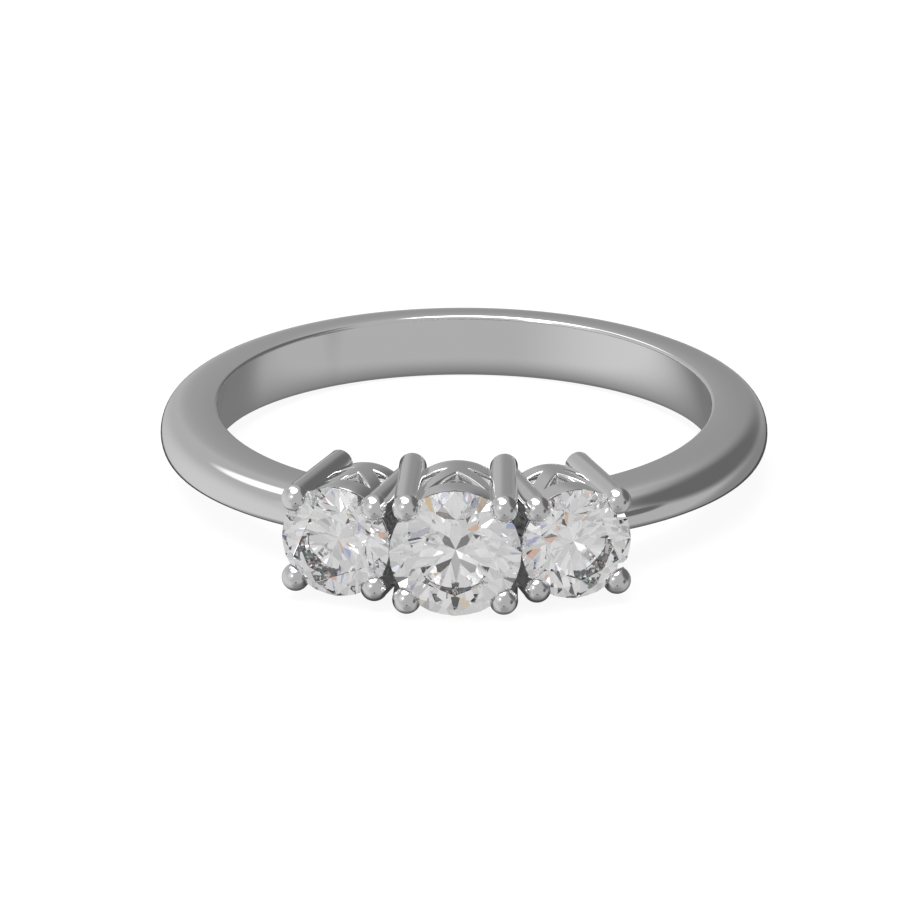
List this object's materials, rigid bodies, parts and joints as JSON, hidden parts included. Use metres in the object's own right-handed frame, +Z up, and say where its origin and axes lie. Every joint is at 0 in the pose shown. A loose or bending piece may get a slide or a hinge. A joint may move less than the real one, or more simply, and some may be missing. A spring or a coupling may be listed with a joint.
{
  "type": "three stone ring",
  "caption": "Finger ring in polished white metal with a larger round brilliant between two smaller ones, each in a pierced basket with ball-ended prongs.",
  "frame": {"origin": "centre of the finger hole", "axes": "+Z up from the table that the ring lies on, +Y from the stones to the back of the band, +X to the right of the stones as seen in the picture; the finger hole's axis leans 3.0 degrees from +Z toward +Y"},
  "size_m": [0.0212, 0.024, 0.0045],
  "materials": {
    "metal": "rhodium-plated silver, mirror polished",
    "gem": "clear and colourless, polished facets"
  },
  "bodies": {
    "root": {"ring_mount": "metal", "centre_stone": "gem", "left_stone": "gem", "right_stone": "gem"}
  },
  "joints": []
}
